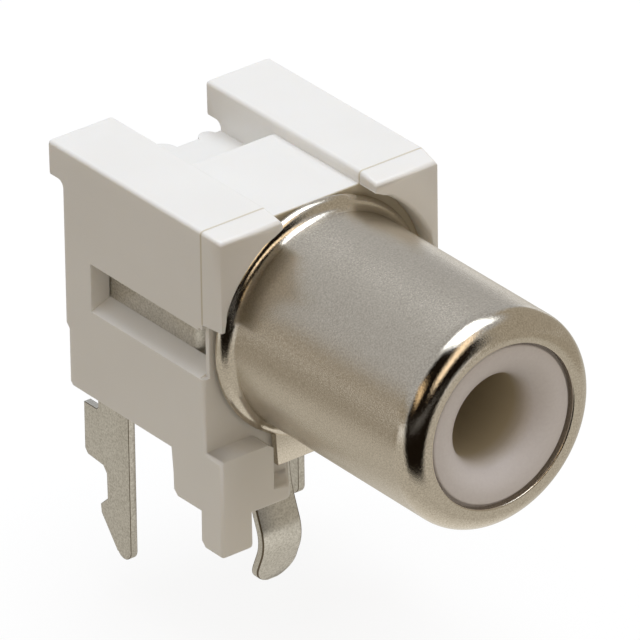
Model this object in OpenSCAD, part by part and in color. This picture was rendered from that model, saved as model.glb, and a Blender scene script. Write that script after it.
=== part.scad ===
// Right-angle coaxial phono socket for a printed circuit board, in millimetres.
// The barrel points along -Y, +Z is up and z = 0 is the top of the board.

/* [Housing] */
// Width of the moulding across the barrel.
body_w = 9.9; // [8:0.1:14]
// Height of the top above the board.
body_top = 12.75; // [11:0.05:16]
// Rear wall's outer face, from the front face.
body_rear = 8.9; // [7:0.1:12]
// Height of the barrel's axis above the board.
axis_z = 7.84; // [6.5:0.02:9]
// Depth of the recess that the barrel's flange sits in.
recess = 0.95; // [0.5:0.05:1.5]
// Height where the proud upper plate ends.
plate_z = 9.05; // [8:0.05:10]
// Gap between the flange and the round cut-out in the upper plate.
cut_gap = 0.34; // [0.1:0.02:0.8]
// Width of the channel between the two top rails.
channel_w = 4.14; // [2:0.02:6]
// Thickness of the side walls.
side_t = 0.85; // [0.6:0.05:1.5]
// Thickness of the rear wall.
rear_t = 0.55; // [0.4:0.05:1.5]
// How much thicker the right side wall is than the left.
right_more = 0.32; // [0:0.02:0.6]
// Height of the underside behind the front block.
under_z = 3.35; // [2.5:0.05:4.5]

/* [Front block] */
// Depth of the low block under the barrel.
block_d = 2.87; // [2:0.05:4]
// Height of the block's underside, which is the length of the feet.
foot_h = 1.4; // [0.5:0.1:3]
// Height of the block's top ledge.
block_top = 3.9; // [3:0.05:5]
// Width of each foot.
foot_w = 1.4; // [0.8:0.1:2]
// Depth of each foot.
foot_d = 1.3; // [0.8:0.1:2]
// Width of the pocket for the hanging tab.
pocket_w = 5.26; // [4:0.02:7]
// Height of the pocket's floor.
pocket_z = 2.05; // [1.6:0.05:2.6]
// Width of the slot that lets the ground contact through.
notch_w = 2.5; // [2:0.05:3.5]

/* [Shell] */
// Outer radius of the barrel.
barrel_r = 4.15; // [4:0.01:4.3]
// Front edge of the barrel, ahead of the front face.
barrel_len = 9.65; // [8:0.05:12]
// Sheet thickness of the shell.
sheet = 0.3; // [0.2:0.05:0.5]
// How far the flange stands out from the barrel.
flange_out = 0.39; // [0.2:0.01:0.7]
// Outer radius of the rounded lip.
lip_r = 0.9; // [0.5:0.05:1.2]
// How far the lip turns in from the outside of the barrel.
lip_in = 1.04; // [0.8:0.01:1.3]
// Height of the hanging tab's lower edge.
tab_z = 2.5; // [2.1:0.05:3.4]

/* [Insulator] */
// Radius of the bore for the plug's pin.
bore_r = 1.65; // [1.62:0.01:1.9]
// Gap between the lip and the insulator.
nose_gap = 0.11; // [0.02:0.01:0.3]
// How far the insulator stands behind the lip.
nose_back = 0.14; // [0:0.02:0.5]
// Width of the insulator's flat rim outside the rounded entry.
nose_rim = 0.35; // [0.1:0.05:0.8]

/* [Contacts] */
// Thickness of the contact strip.
strip = 0.3; // [0.2:0.05:0.4]
// Rear edge of the solder terminals.
term_rear = 9.14; // [8:0.02:10]
// Depth of a terminal's leg below the board's top.
term_low = 3.35; // [2.5:0.05:4.5]
// Width of a terminal's leg.
term_w = 1.35; // [1:0.05:1.8]
// Gap between the two contact springs where they touch the pin.
spring_gap = 3; // [2.6:0.05:3.4]

/* [Ground contact] */
// Width of the ground leg.
leg_w = 1.76; // [1.2:0.02:2.2]
// Thickness of the ground strip.
leg_t = 0.33; // [0.2:0.01:0.5]

/* [Hidden] */
$fn = 96;
eps = 0.01;
far = 40;
half = body_w / 2;
chan = channel_w / 2;
inner = half - side_t;
rear_in = body_rear - rear_t;
rear_low = body_rear - 0.17;
rear_step = 5.8;
soft = 0.25;
wall_back = 2 * recess;
skin = 0.2;
roof_z = 10.2;
slot_low = 6.82;
slot_top = 8.75;
slot_end = 7.42;
slot_lip = 0.29;
floor_z = body_top - 0.48;
step_y = 5.87;
step_z = 11.1;
ear_y = body_rear + 0.9;
ear_z = body_top - 1.31;
ear_fillet = 0.3;
draft = 0.09;
free = 0.05;
flange_r = barrel_r + flange_out;
cut_r = flange_r + cut_gap;
mouth_r = barrel_r - lip_in;
lip_mid = barrel_r - lip_r;
nose_r = mouth_r - nose_gap;
entry_r = nose_r - nose_rim - bore_r;
body_r = barrel_r - sheet - free;
tail_r = body_r - 0.6;
shoulder_r = body_r - lip_mid;
tab_root = axis_z - barrel_r + 0.25;
tab_top_w = 4.14;
tab_low_w = 3.96;
arm_low = 6.9;
arm_high = 8.7;
arm_end = 7.5;
bend_y = 2.65;
bend_r = 0.5;
tilt = 40;
spring_run = (inner - strip - 2 * bend_r - spring_gap / 2) / sin(tilt);
term_front = 6.53;
term_step = 8.3;
leg_ceiling = 3.6;
pad_low = 2.55;
leg_front = 3.61;
leg_end = 1.9;
tip_z = -4.42;
tip_r = leg_w / 2 - 0.06;

// Turns a flat outline of [y, z] points into a slab w wide across X.
module across(w) {
    rotate([90, 0, 90]) translate([0, 0, -w / 2]) linear_extrude(w) children();
}

// Turns a profile of [radius, distance behind the front face] about the barrel's axis.
module on_axis() {
    translate([0, 0, axis_z]) rotate([-90, 0, 0]) rotate_extrude() children();
}

// A cylinder on the barrel's axis from y0 to y1.
module rod(r, y0, y1) {
    translate([0, y0, axis_z]) rotate([-90, 0, 0]) cylinder(r = r, h = y1 - y0);
}

// A box given by its two corners.
module span(low, high) {
    translate(low) cube(high - low);
}

// The same thing on the left and on the right.
module both_sides() {
    children();
    mirror([1, 0, 0]) children();
}

// One quadrant of a flat ring between two radii, about [x, y].
module quarter(x, y, r_in, r_out, sx, sy) {
    translate([x, y]) intersection() {
        difference() {
            circle(r_out);
            if (r_in > 0) circle(r_in);
        }
        polygon([[0, 0], [sx * far, 0], [sx * far, sy * far], [0, sy * far]]);
    }
}

// A flat rectangle given by its two corners.
module flat(low, high) {
    translate(low) square(high - low);
}

// Centre line of a bent strip as [x, y, heading] steps, from its list of
// [straight length, bend angle, bend radius].
function ahead(p, run) = [p[0] + run * cos(p[2]), p[1] + run * sin(p[2]), p[2]];
function around(p, turn, r) = let (s = sign(turn))
    [p[0] + s * r * (sin(p[2] + turn) - sin(p[2])),
     p[1] + s * r * (cos(p[2]) - cos(p[2] + turn)), p[2] + turn];
function trace(path, p, i = 0) = i == len(path) ? [p] :
    let (q = ahead(p, path[i][0]), turn = path[i][1], r = path[i][2],
         steps = turn == 0 ? 0 : ceil(abs(turn) / 7.5))
    concat([p], [for (k = [0 : steps - 1]) around(q, turn * k / steps, r)],
        trace(path, around(q, turn, r), i + 1));

// Flat outline of a bent strip of thickness t.
module bent(path, start, t) {
    line = trace(path, start);
    n = len(line) - 1;
    function edge(p, d) = [p[0] - d * sin(p[2]), p[1] + d * cos(p[2])];
    polygon(concat([for (p = line) edge(p, t / 2)],
        [for (k = [n : -1 : 0]) edge(line[k], -t / 2)]));
}

// Outer form: side outline with the block, feet, recess and rear ears.
module housing_outer() {
    across(body_w) {
        polygon([
            [0, 0], [foot_d - soft, 0], [foot_d, soft], [foot_d, foot_h],
            [block_d - soft, foot_h], [block_d, foot_h + soft], [block_d, under_z],
            [rear_low - 0.13, under_z], [rear_low, under_z + 0.13],
            [rear_low, rear_step - 0.2], [body_rear, rear_step], [body_rear, ear_z],
            [ear_y, ear_z], [ear_y, body_top], [recess, body_top],
            [0, body_top - draft], [0, plate_z], [recess, plate_z],
            [recess, block_top], [0, block_top]]);
        translate([body_rear, ear_z - ear_fillet]) difference() {
            square(ear_fillet);
            translate([ear_fillet, 0]) circle(ear_fillet);
        }
    }
}

// Vertical ribs on the rear wall between the ears.
module rear_ribs() {
    for (rib = [[-0.6, 0, 0.7], [1.45, -0.05, 0.36]])
        translate([rib[0], body_rear + rib[1], rear_step])
            cylinder(r = rib[2], h = step_z - rear_step);
}

// The proud plate's sides lean in a little towards its front.
module plate_draft() {
    both_sides() translate([0, 0, plate_z - eps]) linear_extrude(far)
        polygon([[half - draft, -eps], [half, recess], [half + 1, recess], [half + 1, -eps]]);
}

// Space between the top rails: shallow in front, deeper behind the step.
module top_channel() {
    span([-chan, -1, floor_z], [chan, step_y + eps, far]);
    span([-chan, step_y, step_z], [chan, far, far]);
}

// Long window in a side wall, with a sill that slopes down outwards. It runs out
// through the recessed front face, where only a thin skin is left inside it.
module side_window(wall_in) {
    translate([0, slot_end, 0]) rotate([90, 0, 0])
        linear_extrude(slot_end - recess - skin)
        polygon([[half + eps, slot_low], [wall_in - eps, slot_low + 0.35],
            [wall_in - eps, slot_top], [half + eps, slot_top]]);
    span([half - slot_lip, recess - eps, slot_low],
        [half + eps, recess + skin + eps, slot_top + 0.12]);
}

// Room for the contacts, open underneath behind the front block.
module cavity() {
    right_in = inner - right_more;
    span([-inner, block_d, under_z - 1], [right_in, rear_in, roof_z]);
    span([-inner, wall_back, block_top + 0.4], [right_in, block_d + eps, roof_z]);
    side_window(right_in);
    mirror([1, 0, 0]) side_window(inner);
}

// Pocket for the tab, and the flared slot behind it for the ground contact.
module block_cuts() {
    flare = 0.68;
    span([-pocket_w / 2, -eps, pocket_z], [pocket_w / 2, recess, block_top + eps]);
    translate([0, 0, foot_h - 1]) linear_extrude(pocket_z + 1 - foot_h)
        polygon([[-notch_w / 2 - flare, -eps], [notch_w / 2 + flare, -eps],
            [notch_w / 2, recess], [-notch_w / 2, recess]]);
    span([-notch_w / 2, recess - eps, foot_h - 1], [notch_w / 2, block_d + eps, leg_ceiling]);
    span([-half + foot_w, -eps, -eps], [half - foot_w, foot_d + eps, foot_h]);
}

module housing() {
    color("white") difference() {
        union() {
            housing_outer();
            rear_ribs();
        }
        top_channel();
        plate_draft();
        rod(cut_r, -1, recess);
        rod(tail_r + free, recess - eps, wall_back + eps);
        cavity();
        block_cuts();
    }
}

module shell() {
    color("silver") {
        on_axis() {
            flat([mouth_r, -barrel_len], [lip_mid, sheet - barrel_len]);
            quarter(lip_mid, lip_r - barrel_len, lip_r - sheet, lip_r, 1, -1);
            flat([barrel_r - sheet, lip_r - barrel_len], [barrel_r, recess - sheet - flange_out]);
            quarter(flange_r, recess - sheet - flange_out, flange_out, flange_out + sheet, -1, 1);
        }
        tab();
    }
}

// The tab that hangs from the flange into the pocket.
module tab() {
    difference() {
        translate([0, recess, 0]) rotate([90, 0, 0]) linear_extrude(sheet)
            polygon([[-tab_low_w / 2, tab_z], [tab_low_w / 2, tab_z],
                [tab_top_w / 2, tab_root], [-tab_top_w / 2, tab_root]]);
        rod(barrel_r, -1, recess + 1);
    }
}

module insulator() {
    front = nose_back - barrel_len;
    shoulder = sheet - barrel_len;
    color("thistle") on_axis() {
        flat([bore_r + entry_r, front], [nose_r, shoulder + shoulder_r]);
        quarter(bore_r + entry_r, front + entry_r, 0, entry_r, -1, -1);
        flat([nose_r - 0.1, shoulder], [lip_mid, shoulder + shoulder_r]);
        quarter(lip_mid, shoulder + shoulder_r, 0, shoulder_r, 1, -1);
        flat([bore_r, front + entry_r], [body_r, recess]);
        flat([bore_r, recess - eps], [tail_r, wall_back]);
    }
}

// Flat solder terminal with its shoulder on the board and a barb behind the leg.
module terminal() {
    heel = term_front + term_w;
    neck = min(term_step, rear_in - free);
    end_r = 0.42;
    polygon([[term_front, arm_low], [term_front, end_r - term_low],
        [term_front + end_r, end_r - term_low], [7.33, 0.16 - term_low],
        [heel + 0.36, -2], [heel + 0.4, -1.66], [heel - 0.02, -1.27], [heel, -0.25],
        [heel + 0.2, 0], [term_rear - 0.16, 0.08], [term_rear, 0.28],
        [term_rear, 2.17], [neck + 0.1, 2.17], [neck, 2.27],
        [neck, 4.2], [arm_end, 4.8], [arm_end, arm_low]]);
    translate([term_front + end_r, end_r - term_low]) circle(end_r);
}

// One contact: terminal, arm along the side wall and a spring folded back to the pin.
module contact(near = 0) {
    arm_x = inner - strip / 2;
    back = near / sin(tilt);
    translate([arm_x, 0, 0]) across(strip) terminal();
    translate([0, 0, arm_low]) linear_extrude(arm_high - arm_low)
        bent([[arm_end - bend_y, tilt - 180, bend_r],
            [spring_run - back, -tilt - 30, bend_r], [0.8, 0, 0]], [arm_x, arm_end, -90], strip);
}

module tip_contact() {
    color("gainsboro") mirror([1, 0, 0]) contact();
}

module switch_contact() {
    color("gainsboro") translate([-right_more, 0, 0]) contact(right_more);
}

// Kinked leg, arm through the block and a pad behind the tab, one bent strip.
module ground_contact() {
    arm_mid = leg_ceiling - leg_t / 2;
    pad_mid = recess + leg_t / 2;
    leg_mid = leg_front + leg_t / 2;
    color("gainsboro") intersection() {
        across(leg_w) bent([[arm_mid - pad_low - 0.3, -90, 0.3],
            [leg_mid - pad_mid - 0.7, -90, 0.4], [arm_mid - 1, -22, 4.5],
            [0.81, 50, 0.75], [leg_end, 0, 0]], [pad_mid, pad_low, 90], leg_t);
        translate([0, far / 2, 0]) rotate([90, 0, 0]) linear_extrude(far) leg_front_view();
    }
}

// Front view of the ground strip, with the leg's rounded end.
module leg_front_view() {
    w = leg_w / 2;
    flat([-w, tip_z + tip_r], [w, far]);
    flat([tip_r - w, tip_z], [w - tip_r, tip_z + tip_r]);
    for (x = [tip_r - w, w - tip_r]) translate([x, tip_z + tip_r]) circle(tip_r);
}

housing();
shell();
insulator();
tip_contact();
switch_contact();
ground_contact();
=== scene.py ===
import math

import bmesh
import bpy
from mathutils import Matrix, Vector


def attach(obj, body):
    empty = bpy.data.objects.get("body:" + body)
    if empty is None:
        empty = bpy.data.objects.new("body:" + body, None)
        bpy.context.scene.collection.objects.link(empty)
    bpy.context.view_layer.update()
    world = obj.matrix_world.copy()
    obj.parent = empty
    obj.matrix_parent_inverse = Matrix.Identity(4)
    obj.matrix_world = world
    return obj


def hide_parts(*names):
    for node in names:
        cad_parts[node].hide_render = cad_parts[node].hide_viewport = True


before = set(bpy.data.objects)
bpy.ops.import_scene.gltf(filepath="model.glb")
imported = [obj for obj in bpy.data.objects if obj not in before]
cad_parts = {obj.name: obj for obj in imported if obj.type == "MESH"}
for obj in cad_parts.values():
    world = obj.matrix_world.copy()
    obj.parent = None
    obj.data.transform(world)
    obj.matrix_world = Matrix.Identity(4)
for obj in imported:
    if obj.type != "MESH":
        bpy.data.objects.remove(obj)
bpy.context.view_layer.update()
print("frame loaded:", ", ".join(sorted(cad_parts)))

mm = 0.001
axisZ = 7.84  # height of the barrel's axis above the board
plasticIor = 1.55
solidWeldMm = 0.0005  # corners of a solid's loose triangles that are closer than this are one
sweptWeldMm = 0.0002  # the same for a mesh that a tree has swept
flatDeg = 0.4  # triangles that turn less than this make one face


def hexToLinear(text):
    # sRGB hex to the linear colour that the shaders take
    parts = [int(text[i : i + 2], 16) / 255 for i in (1, 3, 5)]
    return [c / 12.92 if c <= 0.04045 else ((c + 0.055) / 1.055) ** 2.4 for c in parts] + [1.0]


def addNode(tree, kind, settings=None, **links):
    # one node with its settings; a socket is linked, anything else is a value, and i6 is the seventh input
    node = tree.nodes.new(kind)
    for key, value in (settings or {}).items():
        setattr(node, key, value)
    for key, value in links.items():
        numbered = key[0] == "i" and key[1:].isdigit()
        socket = node.inputs[int(key[1:]) if numbered else key.replace("_", " ")]
        if isinstance(value, bpy.types.NodeSocket):
            tree.links.new(value, socket)
        else:
            socket.default_value = value
    return node


def calc(tree, operation, *values):
    # one maths node on numbers or sockets; gives back its result
    terms = {f"i{k}": value for k, value in enumerate(values)}
    return addNode(tree, "ShaderNodeMath", {"operation": operation}, **terms).outputs[0]


def ramp(tree, value, low, high, lowGives=0.0, highGives=1.0):
    # a straight fade from lowGives at low to highGives at high, and level past both
    fade = addNode(tree, "ShaderNodeMapRange", Value=value, From_Min=low, From_Max=high,
                   To_Min=lowGives, To_Max=highGives)
    return fade.outputs[0]


def noise(tree, place, sizeMm, detail, roughness=0.5):
    pattern = addNode(tree, "ShaderNodeTexNoise", Vector=place, Scale=1 / (sizeMm * mm),
                      Detail=detail, Roughness=roughness)
    return pattern.outputs["Fac"]


def mixColours(tree, factor, first, second):
    # each colour is hex or a socket
    ends = [hexToLinear(end) if isinstance(end, str) else end for end in (first, second)]
    mix = addNode(tree, "ShaderNodeMix", {"data_type": "RGBA"}, Factor=factor, i6=ends[0], i7=ends[1])
    return mix.outputs["Result"]


def relief(tree, height, strength, depthMm, settings=None, **links):
    bump = addNode(tree, "ShaderNodeBump", settings, Strength=strength, Distance=depthMm * mm,
                   Height=height, **links)
    return bump.outputs["Normal"]


def newMaterial(name):
    material = bpy.data.materials.new(name)
    material.use_nodes = True
    material.node_tree.nodes.clear()
    return material, material.node_tree


def objectPlace(tree):
    return addNode(tree, "ShaderNodeTexCoord").outputs["Object"]


def finishMaterial(tree, shader):
    out = addNode(tree, "ShaderNodeOutputMaterial")
    tree.links.new(shader.outputs[0], out.inputs[0])


housingLook = {
    "top": "#ECEBE8", "shade": "#E6E4E0", "cloudMm": 3.5, "cloudDetail": 2.0, "roughness": 0.4,
    "grainMm": 0.16, "grainDetail": 3.0, "grainStrength": 0.7, "grainHeightMm": 0.003,
    "scatter": 0.25, "scatterRadius": (1.0, 0.9, 0.75), "scatterMm": 0.35,
    # seam colour: the parting line's darker colour, and painted shade on the recessed face behind the flange
    "seamAndRecessShade": "#C9BFA9", "seamAndRecessY": 0.95, "seamAndShadeFromZ": 9.05,
    "seamMm": 0.06, "seamStrength": 0.6, "seamDepthMm": 0.02,
}


def mouldedPolyester(look):
    # white glass-filled PBT, injection moulded: satin, faintly grained, a little light gets into its edges,
    # with the fine line where the mould's front insert met the rest, behind the plate, drawn darker; the same
    # darker colour is painted shade over the whole recessed face behind the flange, which lies in the line's
    # plane
    material, tree = newMaterial("mouldedPolyester")
    place = objectPlace(tree)
    cloudy = noise(tree, place, look["cloudMm"], look["cloudDetail"])
    tint = mixColours(tree, cloudy, look["shade"], look["top"])
    grain = noise(tree, place, look["grainMm"], look["grainDetail"])
    grained = relief(tree, grain, look["grainStrength"], look["grainHeightMm"])
    at = addNode(tree, "ShaderNodeSeparateXYZ", Vector=place).outputs
    away = calc(tree, "ABSOLUTE", calc(tree, "SUBTRACT", at["Y"], look["seamAndRecessY"] * mm))
    line = ramp(tree, away, look["seamMm"] * mm, 0.0)
    upper = calc(tree, "GREATER_THAN", at["Z"], look["seamAndShadeFromZ"] * mm)
    # the mask is 1 on the parting line and over the whole recessed face behind the flange, which lies at the
    # same y; there its darker colour is painted shade
    seamAndRecessShade = calc(tree, "MULTIPLY", line, upper)
    marked = mixColours(tree, seamAndRecessShade, tint, look["seamAndRecessShade"])
    grooved = relief(tree, seamAndRecessShade, look["seamStrength"], look["seamDepthMm"], {"invert": True}, Normal=grained)
    shader = addNode(tree, "ShaderNodeBsdfPrincipled", Base_Color=marked, Roughness=look["roughness"],
                     IOR=plasticIor, Normal=grooved, Subsurface_Weight=look["scatter"],
                     Subsurface_Radius=look["scatterRadius"], Subsurface_Scale=look["scatterMm"] * mm)
    finishMaterial(tree, shader)
    return material


shellLook = {
    "light": "#E5DDCF", "dull": "#BFB6A6", "side": 0.25, "sideSpread": 0.05, "burnished": 0.08,
    "grainMm": 0.06, "grainDetail": 4.0, "grainRoughness": 0.65, "dullUpTo": 0.3, "lightFrom": 0.7,
    "grainHeightMm": 0.013, "sideRelief": 0.5, "rubbedRelief": 0.4, "patchMm": 2.4, "patchDetail": 3.0,
    "lipFromY": -8.55, "filletFromY": 0.05, "fadeMm": 0.35,
}


def satinNickel(look):
    # deep-drawn brass cup with satin nickel plate: even matt grain on the side, burnished where the
    # punch and die rubbed it, on the rolled lip and in the flange's fillet
    material, tree = newMaterial("satinNickelPlate")
    place = objectPlace(tree)
    depth = addNode(tree, "ShaderNodeSeparateXYZ", Vector=place).outputs["Y"]
    lip = ramp(tree, depth, look["lipFromY"] * mm, (look["lipFromY"] - look["fadeMm"]) * mm)
    fillet = ramp(tree, depth, look["filletFromY"] * mm, (look["filletFromY"] + look["fadeMm"]) * mm)
    rubbed = calc(tree, "MAXIMUM", lip, fillet)
    grain = noise(tree, place, look["grainMm"], look["grainDetail"], look["grainRoughness"])
    specks = ramp(tree, grain, look["dullUpTo"], look["lightFrom"])
    tint = mixColours(tree, specks, look["dull"], look["light"])
    patches = noise(tree, place, look["patchMm"], look["patchDetail"])
    smoothest, roughest = look["side"] - look["sideSpread"], look["side"] + look["sideSpread"]
    uneven = ramp(tree, patches, 0.0, 1.0, smoothest, roughest)
    rough = addNode(tree, "ShaderNodeMix", Factor=rubbed, i2=uneven, i3=look["burnished"])
    strength = ramp(tree, rubbed, 0.0, 1.0, look["sideRelief"], look["rubbedRelief"])
    grained = relief(tree, grain, strength, look["grainHeightMm"])
    shader = addNode(tree, "ShaderNodeBsdfPrincipled", Base_Color=tint, Metallic=1.0,
                     Roughness=rough.outputs["Result"], Normal=grained)
    finishMaterial(tree, shader)
    return material


insulatorLook = {
    # deep is painted shade for the inside of the bore
    "light": "#EBE8EA", "shade": "#E0DCDF", "deep": "#CFC4AC", "deepFromY": -9.1, "deepToY": -8.1,
    "roughness": 0.45, "grainMm": 0.12, "grainDetail": 3.0, "grainStrength": 0.7, "grainHeightMm": 0.003,
}


def mouldedInsulator(look):
    # lilac-grey glass-filled polyester, moulded: matt, with a fine even grain, and painted shade that turns
    # the bore darker and warmer further in
    material, tree = newMaterial("mouldedInsulator")
    place = objectPlace(tree)
    grain = noise(tree, place, look["grainMm"], look["grainDetail"])
    face = mixColours(tree, grain, look["shade"], look["light"])
    depth = addNode(tree, "ShaderNodeSeparateXYZ", Vector=place).outputs["Y"]
    # painted shade: from the mouth inwards the bore fades to the darker, warmer deep colour
    paintedBoreShade = ramp(tree, depth, look["deepFromY"] * mm, look["deepToY"] * mm)
    tint = mixColours(tree, paintedBoreShade, face, look["deep"])
    grained = relief(tree, grain, look["grainStrength"], look["grainHeightMm"])
    shader = addNode(tree, "ShaderNodeBsdfPrincipled", Base_Color=tint, Roughness=look["roughness"],
                     IOR=plasticIor, Normal=grained)
    finishMaterial(tree, shader)
    return material


contactLook = {
    "light": "#E3E0D8", "dull": "#B9B5AB", "dullUpTo": 0.32, "lightFrom": 0.62, "roughness": 0.3,
    "speckMm": 0.08, "speckDetail": 4.0, "speckRoughness": 0.7, "speckStrength": 0.6, "reliefMm": 0.0008,
    "darkEdge": "#6E6455", "darkEdgeRoughness": 0.45,
}


def tinPlatedBrass(look):
    # stamped brass strip with dull tin plate: a fine crystal grain with small grey specks
    material, tree = newMaterial("tinPlatedBrass")
    place = objectPlace(tree)
    specks = noise(tree, place, look["speckMm"], look["speckDetail"], look["speckRoughness"])
    crisp = ramp(tree, specks, look["dullUpTo"], look["lightFrom"])
    tint = mixColours(tree, crisp, look["dull"], look["light"])
    grained = relief(tree, specks, look["speckStrength"], look["reliefMm"])
    shader = addNode(tree, "ShaderNodeBsdfPrincipled", Base_Color=tint, Metallic=1.0,
                     Roughness=look["roughness"], Normal=grained)
    finishMaterial(tree, shader)
    return material


def darkEdgeMaterial(look):
    # the rounded corners: a dark, dull metal colour that draws dark lines along the edges
    material, tree = newMaterial("darkEdgeMaterial")
    shader = addNode(tree, "ShaderNodeBsdfPrincipled", Base_Color=hexToLinear(look["darkEdge"]), Metallic=1.0,
                     Roughness=look["darkEdgeRoughness"])
    finishMaterial(tree, shader)
    return material


housingPlastic = mouldedPolyester(housingLook)
nickel = satinNickel(shellLook)
insulatorPlastic = mouldedInsulator(insulatorLook)
tin = tinPlatedBrass(contactLook)
darkEdges = darkEdgeMaterial(contactLook)
print("materials made:", len(bpy.data.materials))


def linkPiece(name, mesh, material, nodeName):
    mesh.materials.clear()
    mesh.materials.append(material)
    piece = bpy.data.objects.new(name, mesh)
    bpy.context.scene.collection.objects.link(piece)
    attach(piece, "root")
    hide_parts(nodeName)
    return piece


def mergedCopy(nodeName, name):
    # the solid's own shape, with its loose triangles joined into whole faces
    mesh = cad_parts[nodeName].data.copy()
    mesh.name = name
    work = bmesh.new()
    work.from_mesh(mesh)
    bmesh.ops.remove_doubles(work, verts=work.verts, dist=solidWeldMm * mm)
    bmesh.ops.dissolve_limit(work, angle_limit=math.radians(flatDeg), verts=work.verts, edges=work.edges)
    return mesh, work


def smoothInto(mesh, work):
    for face in work.faces:
        face.smooth = True
    work.to_mesh(mesh)
    work.free()


# housing
caseSize = {
    "edge": 0.15, "edgeSteps": 3, "edgeRound": 0.5, "faceWeight": 80,
    "deep": 0.45, "shortest": 0.35, "pinch": 0.2, "turnDeg": 40,
    "plateFrontY": 0.02, "plateZ": 9.0, "plateTopZ": 12.5, "cornerX": 4.7, "leanIn": 0.05,
}


def leanPlate(work, size):
    # the front plate is a little narrower and lower at its front than at its root
    for vert in work.verts:
        if vert.co.y < size["plateFrontY"] * mm and vert.co.z > size["plateZ"] * mm:
            if abs(vert.co.x) > size["cornerX"] * mm:
                vert.co.x -= math.copysign(size["leanIn"] * mm, vert.co.x)
            if vert.co.z > size["plateTopZ"] * mm:
                vert.co.z -= size["leanIn"] * mm


def faceDepth(edge, face):
    # how far a face reaches, measured square to one of its edges
    start = edge.verts[0].co
    along = (edge.verts[1].co - start).normalized()
    return max(((v.co - start) - along * (v.co - start).dot(along)).length for v in face.verts)


def softEdges(corners, size):
    # the outer edges between deep faces, without those that meet a short crisp edge, where the radius
    # would fold over
    soft = {
        edge for edge in corners
        if edge.is_convex and edge.calc_length() > size["shortest"] * mm
        and min(faceDepth(edge, face) for face in edge.link_faces) > size["deep"] * mm
    }
    pinched = {
        edge for edge in soft for vert in edge.verts for near in vert.link_edges
        if near not in soft and near.calc_length() < size["pinch"] * mm
    }
    kept = soft - pinched
    return [edge for edge in corners if edge in kept]


def mouldedCase(size, material):
    # the solid's shape with the soft outer edges of a moulding
    mesh, work = mergedCopy("housing", "housingMoulding")
    leanPlate(work, size)
    corners = [e for e in work.edges if e.calc_face_angle(0) > math.radians(size["turnDeg"])]
    soft = softEdges(corners, size)
    for edge in corners:
        edge.smooth = edge in soft
    print("soft edges on the housing:", len(soft))
    bmesh.ops.bevel(work, geom=soft, offset=size["edge"] * mm, segments=size["edgeSteps"],
                    affect="EDGES", profile=size["edgeRound"], clamp_overlap=False)
    smoothInto(mesh, work)
    piece = linkPiece("housingMoulding", mesh, material, "housing")
    shading = piece.modifiers.new("shading", "WEIGHTED_NORMAL")
    shading.keep_sharp = True
    shading.weight = size["faceWeight"]


mouldedCase(caseSize, housingPlastic)


def newTree(name, lengths, counts=()):
    # an empty geometry tree with its named sizes; returns it with its two ends
    tree = bpy.data.node_groups.new(name, "GeometryNodeTree")
    for way in ("INPUT", "OUTPUT"):
        tree.interface.new_socket("Geometry", in_out=way, socket_type="NodeSocketGeometry")
    for labels, kind in ((lengths, "NodeSocketFloat"), (counts, "NodeSocketInt")):
        for label in labels:
            tree.interface.new_socket(label, in_out="INPUT", socket_type=kind)
    start, end = tree.nodes.new("NodeGroupInput"), tree.nodes.new("NodeGroupOutput")
    return tree, start.outputs, end.inputs


def finishTree(tree, geometry, material, end):
    real = addNode(tree, "GeometryNodeRealizeInstances", Geometry=geometry)
    painted = addNode(tree, "GeometryNodeSetMaterial", Geometry=real.outputs[0], Material=material)
    tree.links.new(painted.outputs[0], end[0])


def runTree(tree, mesh, sizes):
    # runs the tree on the mesh and gives back the plain mesh that comes out
    holder = bpy.data.objects.new("holder", mesh)
    bpy.context.scene.collection.objects.link(holder)
    modifier = holder.modifiers.new("nodes", "NODES")
    modifier.node_group = tree
    sockets = {item.name: item.identifier for item in tree.interface.items_tree if item.in_out == "INPUT"}
    for label, value in sizes.items():
        modifier[sockets[label]] = value
    shaped = holder.evaluated_get(bpy.context.evaluated_depsgraph_get())
    result = bpy.data.meshes.new_from_object(shaped)
    bpy.data.objects.remove(holder)
    work = bmesh.new()
    work.from_mesh(result)
    bmesh.ops.remove_doubles(work, verts=work.verts, dist=sweptWeldMm * mm)
    bmesh.ops.recalc_face_normals(work, faces=work.faces)
    smoothInto(result, work)
    return result


def arc(centre, radius, fromDeg, toDeg, steps):
    return [
        (centre[0] + radius * math.cos(math.radians(fromDeg + (toDeg - fromDeg) * k / steps)),
         centre[1] + radius * math.sin(math.radians(fromDeg + (toDeg - fromDeg) * k / steps)))
        for k in range(steps + 1)
    ]


def turnedTree(material):
    # sweeps a closed wall section round a circle, as a lathe would turn it
    tree, start, end = newTree("turnedWall", ["Radius"], ["Steps"])
    section = addNode(tree, "GeometryNodeMeshToCurve", Mesh=start["Geometry"])
    circle = addNode(tree, "GeometryNodeCurvePrimitiveCircle", Resolution=start["Steps"],
                     Radius=start["Radius"])
    wall = addNode(tree, "GeometryNodeCurveToMesh", Curve=circle.outputs["Curve"],
                   Profile_Curve=section.outputs["Curve"])
    stood = addNode(tree, "GeometryNodeTransform", Geometry=wall.outputs["Mesh"],
                    Rotation=(math.pi / 2, 0, 0), Translation=(0, 0, axisZ * mm))
    finishTree(tree, stood.outputs["Geometry"], material, end)
    return tree


def turned(section, pathRadius, material, steps):
    # the section's points are radius and y in mm
    mesh = bpy.data.meshes.new("section")
    points = [((r - pathRadius) * mm, y * mm, 0) for r, y in section]
    mesh.from_pydata(points, [(k, (k + 1) % len(points)) for k in range(len(points))], [])
    return runTree(turnedTree(material), mesh, {"Radius": pathRadius * mm, "Steps": steps})


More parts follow.
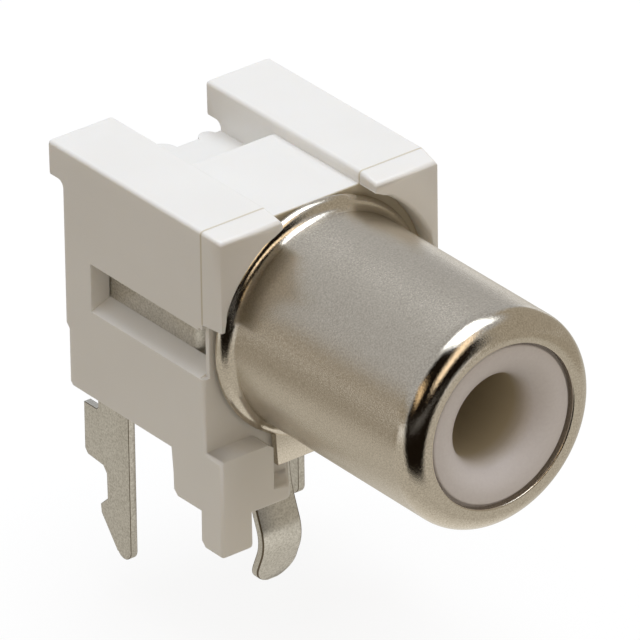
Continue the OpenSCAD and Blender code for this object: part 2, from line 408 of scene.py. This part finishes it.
# barrel, flange and hanging tab
shellSize = {
    "barrelR": 4.15, "front": -9.65, "sheet": 0.3, "lipR": 0.9, "mouthR": 3.11, "edge": 0.06, "steps": 192,
    "back": 0.78, "filletR": 0.42, "beadR": 0.3, "flareDeg": 65,  # the flange: a fillet, then a rounded bead
    "mouthSteps": 4, "lipSteps": 18, "bendSteps": 12, "beadSteps": 10, "rimSteps": 3,
    "insideFromDeg": 97,  # where the inner bend leaves the flange's back
    "tabFront": 0.6, "tabTop": 3.9, "tabLow": 2.5, "tabTopW": 4.14, "tabLowW": 3.96,
    "tabEdge": 0.04, "tabEdgeSteps": 2, "tabEdgeRound": 0.6,
}


def barrelSection(size):
    outer, sheet, lip, edge = size["barrelR"], size["sheet"], size["lipR"], size["edge"]
    fillet, bead, flare, bend = size["filletR"], size["beadR"], size["flareDeg"], size["bendSteps"]
    lipMid, low = outer - lip, size["front"]
    rimY = size["back"] - edge
    turn = math.radians(180 - flare)
    beadMid = (outer + fillet + (fillet + bead) * math.cos(turn), rimY)
    filletMid = (outer + fillet, rimY - (fillet + bead) * math.sin(turn))
    inside = size["back"] - filletMid[1]
    rim = beadMid[0] + bead
    return (
        arc((size["mouthR"] + edge, low + edge), edge, 180, 270, size["mouthSteps"])
        + arc((lipMid, low + lip), lip, -90, 0, size["lipSteps"])
        + arc(filletMid, fillet, 180, 180 - flare, bend)
        + arc(beadMid, bead, -flare, 0, size["beadSteps"])[1:]
        + arc((rim - edge, rimY), edge, 0, 90, size["rimSteps"])[1:]
        + arc((outer - sheet + inside, filletMid[1]), inside, size["insideFromDeg"], 180, bend)
        + arc((lipMid, low + lip), lip - sheet, 0, -90, bend)
        + [(size["mouthR"], low + sheet)]
    )


def addTab(mesh, size):
    work = bmesh.new()
    work.from_mesh(mesh)
    corners = []  # front then back, in each low left, low right, top left, top right
    for y in (size["tabFront"], size["tabFront"] + size["sheet"]):
        for w, z in ((size["tabLowW"], size["tabLow"]), (size["tabTopW"], size["tabTop"])):
            corners += [work.verts.new((side * w / 2 * mm, y * mm, z * mm)) for side in (-1, 1)]
    for ring in ((0, 1, 3, 2), (4, 6, 7, 5), (0, 4, 5, 1), (2, 3, 7, 6), (0, 2, 6, 4), (1, 5, 7, 3)):
        work.faces.new([corners[k] for k in ring])
    edges = [e for e in work.edges if all(v in corners for v in e.verts)]
    bmesh.ops.bevel(work, geom=edges, offset=size["tabEdge"] * mm, segments=size["tabEdgeSteps"],
                    affect="EDGES", profile=size["tabEdgeRound"])
    bmesh.ops.recalc_face_normals(work, faces=work.faces)
    smoothInto(mesh, work)


shellMesh = turned(barrelSection(shellSize), shellSize["barrelR"], nickel, shellSize["steps"])
addTab(shellMesh, shellSize)
linkPiece("barrelShell", shellMesh, nickel, "shell")

# insulator
coreSize = {
    "boreR": 1.65, "noseR": 3.0, "front": -9.51, "shoulder": -9.35, "entryR": 1.0, "bodyR": 3.8,
    "lipMid": 3.25, "back": 0.95, "tailR": 3.2, "tailBack": 1.9, "edge": 0.08, "steps": 160,
    "entrySteps": 20, "edgeSteps": 5, "shoulderSteps": 10,
}


def coreSection(size):
    front, entry, edge = size["front"], size["entryR"], size["edge"]
    turn = size["bodyR"] - size["lipMid"]
    return (
        arc((size["boreR"] + entry, front + entry), entry, 180, 270, size["entrySteps"])
        + arc((size["noseR"] - edge, front + edge), edge, -90, 0, size["edgeSteps"])
        + [(size["noseR"], size["shoulder"])]
        + arc((size["lipMid"], size["shoulder"] + turn), turn, -90, 0, size["shoulderSteps"])
        + [(size["bodyR"], size["back"]), (size["tailR"], size["back"])]
        + [(size["tailR"], size["tailBack"]), (size["boreR"], size["tailBack"])]
    )


coreMesh = turned(coreSection(coreSize), coreSize["bodyR"], insulatorPlastic, coreSize["steps"])
linkPiece("centreInsulator", coreMesh, insulatorPlastic, "insulator")

# left and right contacts
stampedSize = {"edge": 0.035, "edgeSteps": 3, "turnDeg": 30}


def stamped(nodeName, name, size, material, cornerMaterial):
    # a stamped strip: the solid's shape with the small radii that the press leaves
    mesh, work = mergedCopy(nodeName, name)
    smoothInto(mesh, work)
    piece = linkPiece(name, mesh, material, nodeName)
    mesh.materials.append(cornerMaterial)
    bevel = piece.modifiers.new("edges", "BEVEL")
    bevel.material = 1  # the rounded corners, in the dark edge colour
    bevel.width = size["edge"] * mm
    bevel.segments = size["edgeSteps"]
    bevel.limit_method = "ANGLE"
    bevel.angle_limit = math.radians(size["turnDeg"])
    bevel.harden_normals = True


stamped("tip_contact", "tipContact", stampedSize, tin, darkEdges)
stamped("switch_contact", "switchContact", stampedSize, tin, darkEdges)

# ground contact: one strip bent along its path, with a rounded end
groundSize = {
    "thick": 0.33, "wide": 1.76, "edge": 0.05, "edgeSteps": 3, "step": 0.08, "bendSteps": 16,
    "tipZ": -4.17, "tipR": 0.82, "tipLeast": 0.12,
    "path": [  # y, z and bend radius, middle of the strip
        (1.115, 2.55, 0), (1.115, 3.435, 0.3), (3.775, 3.435, 0.4),
        (3.775, -0.275, 4.5), (3.03, -2.25, 1.5), (3.76, -4.08, 0),
    ],
    "edgeShare": (-0.5, 0.48),  # middle and reach of a rounded corner that runs from -1 to 0
}


def markDarkEdgeCorners(tree, bar, place, start, size):
    # marks the faces of the strip's four rounded corners
    fromSide = calc(tree, "MULTIPLY_ADD", start["Wide"], -0.5, calc(tree, "ABSOLUTE", place["X"]))
    share = calc(tree, "DIVIDE", fromSide, start["Edge"])
    corner = calc(tree, "COMPARE", share, *size["edgeShare"])
    marked = addNode(tree, "GeometryNodeStoreNamedAttribute", {"data_type": "BOOLEAN", "domain": "FACE"},
                     Geometry=bar, Name="corner", Value=corner)
    return marked.outputs["Geometry"]


def roundedTip(tree, bar, place, start, size):
    # narrows the strip to a half circle over the last radius of its height
    top = calc(tree, "ADD", start["Tip height"], start["Tip radius"])
    share = calc(tree, "DIVIDE", calc(tree, "SUBTRACT", top, place["Z"]), start["Tip radius"])
    kept = addNode(tree, "ShaderNodeClamp", Value=share).outputs[0]
    width = calc(tree, "SQRT", calc(tree, "SUBTRACT", 1.0, calc(tree, "MULTIPLY", kept, kept)))
    across = calc(tree, "MULTIPLY", place["X"], calc(tree, "MAXIMUM", width, size["tipLeast"]))
    moved = addNode(tree, "ShaderNodeCombineXYZ", X=across, Y=place["Y"], Z=place["Z"])
    tongue = addNode(tree, "GeometryNodeSetPosition", Geometry=bar, Position=moved.outputs[0])
    return tongue.outputs["Geometry"]


def stripTree(size, material):
    tree, start, end = newTree("bentStrip", ["Thick", "Wide", "Edge", "Step", "Tip height", "Tip radius"])
    radius = addNode(tree, "GeometryNodeInputNamedAttribute", {"data_type": "FLOAT"}, Name="bendRadius")
    line = addNode(tree, "GeometryNodeMeshToCurve", Mesh=start["Geometry"])
    bends = addNode(tree, "GeometryNodeFilletCurve", {"mode": "POLY"}, Curve=line.outputs["Curve"],
                    Radius=radius.outputs["Attribute"], Count=size["bendSteps"])
    even = addNode(tree, "GeometryNodeResampleCurve", {"mode": "LENGTH"}, Curve=bends.outputs["Curve"],
                   Length=start["Step"])
    section = addNode(tree, "GeometryNodeCurvePrimitiveQuadrilateral", Width=start["Wide"],
                      Height=start["Thick"])
    soft = addNode(tree, "GeometryNodeFilletCurve", {"mode": "POLY"}, Curve=section.outputs["Curve"],
                   Radius=start["Edge"], Count=size["edgeSteps"])
    bar = addNode(tree, "GeometryNodeCurveToMesh", Curve=even.outputs["Curve"],
                  Profile_Curve=soft.outputs["Curve"], Fill_Caps=True)
    where = addNode(tree, "GeometryNodeInputPosition").outputs[0]
    place = addNode(tree, "ShaderNodeSeparateXYZ", Vector=where).outputs
    marked = markDarkEdgeCorners(tree, bar.outputs["Mesh"], place, start, size)
    finishTree(tree, roundedTip(tree, marked, place, start, size), material, end)
    return tree


def bentStrip(size, material):
    mesh = bpy.data.meshes.new("stripPath")
    points = [(0, y * mm, z * mm) for y, z, r in size["path"]]
    mesh.from_pydata(points, [(k, k + 1) for k in range(len(points) - 1)], [])
    radii = mesh.attributes.new("bendRadius", "FLOAT", "POINT")
    for k, (y, z, r) in enumerate(size["path"]):
        radii.data[k].value = r * mm
    inputs = {
        "Thick": size["thick"], "Wide": size["wide"], "Edge": size["edge"], "Step": size["step"],
        "Tip height": size["tipZ"], "Tip radius": size["tipR"],
    }
    return runTree(stripTree(size, material), mesh, {label: value * mm for label, value in inputs.items()})


groundMesh = bentStrip(groundSize, tin)
linkPiece("groundContact", groundMesh, tin, "ground_contact")
groundMesh.materials.append(darkEdges)
for face, corner in zip(groundMesh.polygons, groundMesh.attributes["corner"].data):
    face.material_index = int(corner.value)
print("pieces made")

# floor: white paper to the camera, a warm grey table to the plastic and, near the socket, to the metal. The
# table is paler round nearSpot
floorLook = {
    "z": -4.6, "reach": 3000, "paper": "#FFFFFF", "ownLight": 0.88, "bounce": "#B0AA9E",
    "tableFar": "#C6C1B7", "tableNear": "#F2EEE6", "nearSpot": (1, -5, -4.6), "nearMm": (3, 11),
    "tableMm": (45, 90),  # where the metal's table fades into paper
}


def floorColour(tree, look):
    path = addNode(tree, "ShaderNodeLightPath").outputs
    place = objectPlace(tree)
    mirrored = calc(tree, "MAXIMUM", path["Is Glossy Ray"], path["Is Transmission Ray"])
    away = addNode(tree, "ShaderNodeVectorMath", {"operation": "LENGTH"}, i0=place)
    beyond = ramp(tree, away.outputs["Value"], *[end * mm for end in look["tableMm"]])
    seen = calc(tree, "MAXIMUM", path["Is Camera Ray"], calc(tree, "MULTIPLY", mirrored, beyond))
    spot = addNode(tree, "ShaderNodeVectorMath", {"operation": "DISTANCE"}, i0=place,
                   i1=Vector(look["nearSpot"]) * mm)
    fromSpot = ramp(tree, spot.outputs["Value"], *[end * mm for end in look["nearMm"]])
    table = mixColours(tree, fromSpot, look["tableNear"], look["tableFar"])
    return mixColours(tree, seen, mixColours(tree, mirrored, look["bounce"], table), look["paper"])


def makeFloor(look):
    reach, z = look["reach"] * mm, look["z"] * mm
    mesh = bpy.data.meshes.new("floor")
    corners = [(-reach, -reach, z), (reach, -reach, z), (reach, reach, z), (-reach, reach, z)]
    mesh.from_pydata(corners, [], [(0, 1, 2, 3)])
    floor = bpy.data.objects.new("floor", mesh)
    bpy.context.scene.collection.objects.link(floor)
    material, tree = newMaterial("paperFloor")
    colour = floorColour(tree, look)
    lit = addNode(tree, "ShaderNodeBsdfDiffuse", Color=colour)
    own = addNode(tree, "ShaderNodeEmission", Color=colour, Strength=1.0)
    shader = addNode(tree, "ShaderNodeMixShader", i0=look["ownLight"], i1=lit.outputs[0], i2=own.outputs[0])
    finishMaterial(tree, shader)
    mesh.materials.append(material)


# What stands round the socket as the metal mirrors it: the opening that the camera looks through, the
# golden strip light in it, and the brown surroundings. A row is elevation, first and last azimuth (0 is -Y)
# in degrees round the lip. shine is the card's strength in the metal, glow how strongly it lights the plastic
cardLook = {"lipPlace": (0, -9.65, 7.84), "domeMm": 300, "steps": 16, "warm": "#FFF0DC"}
domeCards = {
    "darkOpening": {
        "rows": [(-4, -92, 22), (15, -90, 22), (38, -90, 22), (46, -92, 12),
                 (53, -93, -5), (61, -95, -8), (68, -95, -15), (75, -85, -40)],
        "reach": 1.0, "colour": "#17110B", "shine": 1.0, "glow": 0.58,
    },
    "goldStrip": {
        "rows": [(17, -24, -18), (22, -28, -14), (29, -31, -9), (36, -27, -2),
                 (44, -22, 6), (52, -17, 14), (60, -12, 24), (67, -5, 32)],
        "reach": 0.96, "colour": "#FFE9CB", "shine": 1.7, "glow": 0.58,
    },
    "goldCorner": {
        "rows": [(18, -72, -66), (24, -78, -58), (31, -88, -64), (38, -94, -78)],
        "reach": 0.96, "colour": "#FFDFB2", "shine": 1.2, "glow": 0.58,
    },
    "brownRight": {
        "rows": [(-4, 24, 128), (15, 24, 128), (48, 26, 122)],
        "reach": 1.0, "colour": "#B4AC9E", "shine": 0.95, "glow": 0.6,
    },
    "brownLeft": {
        "rows": [(-4, -168, -94), (14, -168, -94)],
        "reach": 1.0, "colour": "#BFB4A2", "shine": 0.72, "glow": 0.6,
    },
}
# dark and brown ground, corners in mm
groundCards = {
    "darkGround": {
        "corners": [(-350, -20, -4), (-16, -14, -4.2), (-4, -24, -4.2), (130, -350, -4)],
        "colour": "#17110B", "shine": 1.0, "glow": 0.12,
    },
    "brownGround": {
        "corners": [(-26, 8, -4), (0, 32, -4), (40, 170, -4), (-160, 60, -4)],
        "colour": "#BFB6A7", "shine": 0.7, "glow": 0.2,
    },
    "brownGroundRight": {
        "corners": [(20, -52, -4), (140, -340, -4), (320, 200, -4), (46, 22, -4)],
        "colour": "#B4AC9E", "shine": 0.95, "glow": 0.4,
    },
}


def domeGrid(card, look):
    # points and faces of a patch on a dome round the lip
    steps = look["steps"]
    points, faces = [], []
    for row, (up, first, last) in enumerate(card["rows"]):
        for k in range(steps + 1):
            side = math.radians(first + (last - first) * k / steps)
            flat = math.cos(math.radians(up))
            away = Vector((math.sin(side) * flat, -math.cos(side) * flat, math.sin(math.radians(up))))
            points.append((Vector(look["lipPlace"]) + away * card["reach"] * look["domeMm"]) * mm)
            if row and k:
                end = row * (steps + 1) + k
                faces.append((end - steps - 2, end - steps - 1, end, end - 1))
    return points, faces


def makeCard(name, points, faces, card, look):
    # a studio card that the metal mirrors and that lights the socket softly warm; it isn't in the picture
    mesh = bpy.data.meshes.new(name)
    mesh.from_pydata(points, [], faces)
    piece = bpy.data.objects.new(name, mesh)
    bpy.context.scene.collection.objects.link(piece)
    material, tree = newMaterial(name)
    path = addNode(tree, "ShaderNodeLightPath").outputs
    mirrored = addNode(tree, "ShaderNodeEmission", Color=hexToLinear(card["colour"]), Strength=card["shine"])
    glow = addNode(tree, "ShaderNodeEmission", Color=hexToLinear(look["warm"]), Strength=card["glow"])
    shader = addNode(tree, "ShaderNodeMixShader", i0=path["Is Glossy Ray"], i1=glow.outputs[0],
                     i2=mirrored.outputs[0])
    finishMaterial(tree, shader)
    mesh.materials.append(material)
    piece.visible_camera = False
    piece.visible_shadow = False


# size and place in metres
lampLook = {"watts": 1.55, "colour": "#EEF5FF", "size": 0.34, "place": (0.066, 0.025, 0.49)}


def makeLamp(look):
    data = bpy.data.lights.new("topSoftbox", "AREA")
    data.shape = "SQUARE"
    data.size = look["size"]
    data.energy = look["watts"]
    data.color = hexToLinear(look["colour"])[:3]
    lamp = bpy.data.objects.new("topSoftbox", data)
    lamp.location = look["place"]
    lamp.rotation_euler = (-Vector(look["place"])).to_track_quat("-Z", "Y").to_euler()
    bpy.context.scene.collection.objects.link(lamp)


worldLook = {"colour": "#F9FBFF", "strength": 0.64, "mirrored": 0.54}


def makeWorld(look):
    world = bpy.data.worlds.new("studio")
    bpy.context.scene.world = world
    world.use_nodes = True
    tree = world.node_tree
    tree.nodes.clear()
    path = addNode(tree, "ShaderNodeLightPath").outputs
    colour = hexToLinear(look["colour"])
    sky = addNode(tree, "ShaderNodeBackground", Color=colour, Strength=look["strength"])
    mirroredSky = addNode(tree, "ShaderNodeBackground", Color=colour, Strength=look["mirrored"])
    tent = addNode(tree, "ShaderNodeMixShader", i0=path["Is Glossy Ray"], i1=sky.outputs[0],
                   i2=mirroredSky.outputs[0])
    out = addNode(tree, "ShaderNodeOutputWorld")
    tree.links.new(tent.outputs[0], out.inputs[0])


makeFloor(floorLook)
for name, card in domeCards.items():
    makeCard(name, *domeGrid(card, cardLook), card, cardLook)
for name, card in groundCards.items():
    makeCard(name, [Vector(corner) * mm for corner in card["corners"]], [(0, 1, 2, 3)], card, cardLook)
makeLamp(lampLook)
makeWorld(worldLook)

cameraLook = {
    "placeMm": (-225.64, -290.84, 211.40),
    "right": (0.78663, -0.61731, -0.01194),
    "up": (0.30689, 0.37413, 0.87512),
    "back": (-0.53575, -0.69206, 0.48375),
    "lensMm": 675.0, "sensorMm": 36.0, "clip": (0.01, 10.0),
}


def makeCamera(look):
    data = bpy.data.cameras.new("camera")
    data.lens = look["lensMm"]
    data.sensor_width = look["sensorMm"]
    data.clip_start, data.clip_end = look["clip"]
    camera = bpy.data.objects.new("camera", data)
    bpy.context.scene.collection.objects.link(camera)
    turn = Matrix((look["right"], look["up"], look["back"])).transposed()
    camera.matrix_world = Matrix.Translation(Vector(look["placeMm"]) * mm) @ turn.to_4x4()
    return camera


bpy.context.scene.camera = makeCamera(cameraLook)
bpy.context.scene.view_settings.view_transform = "Standard"
print("stage and camera made")
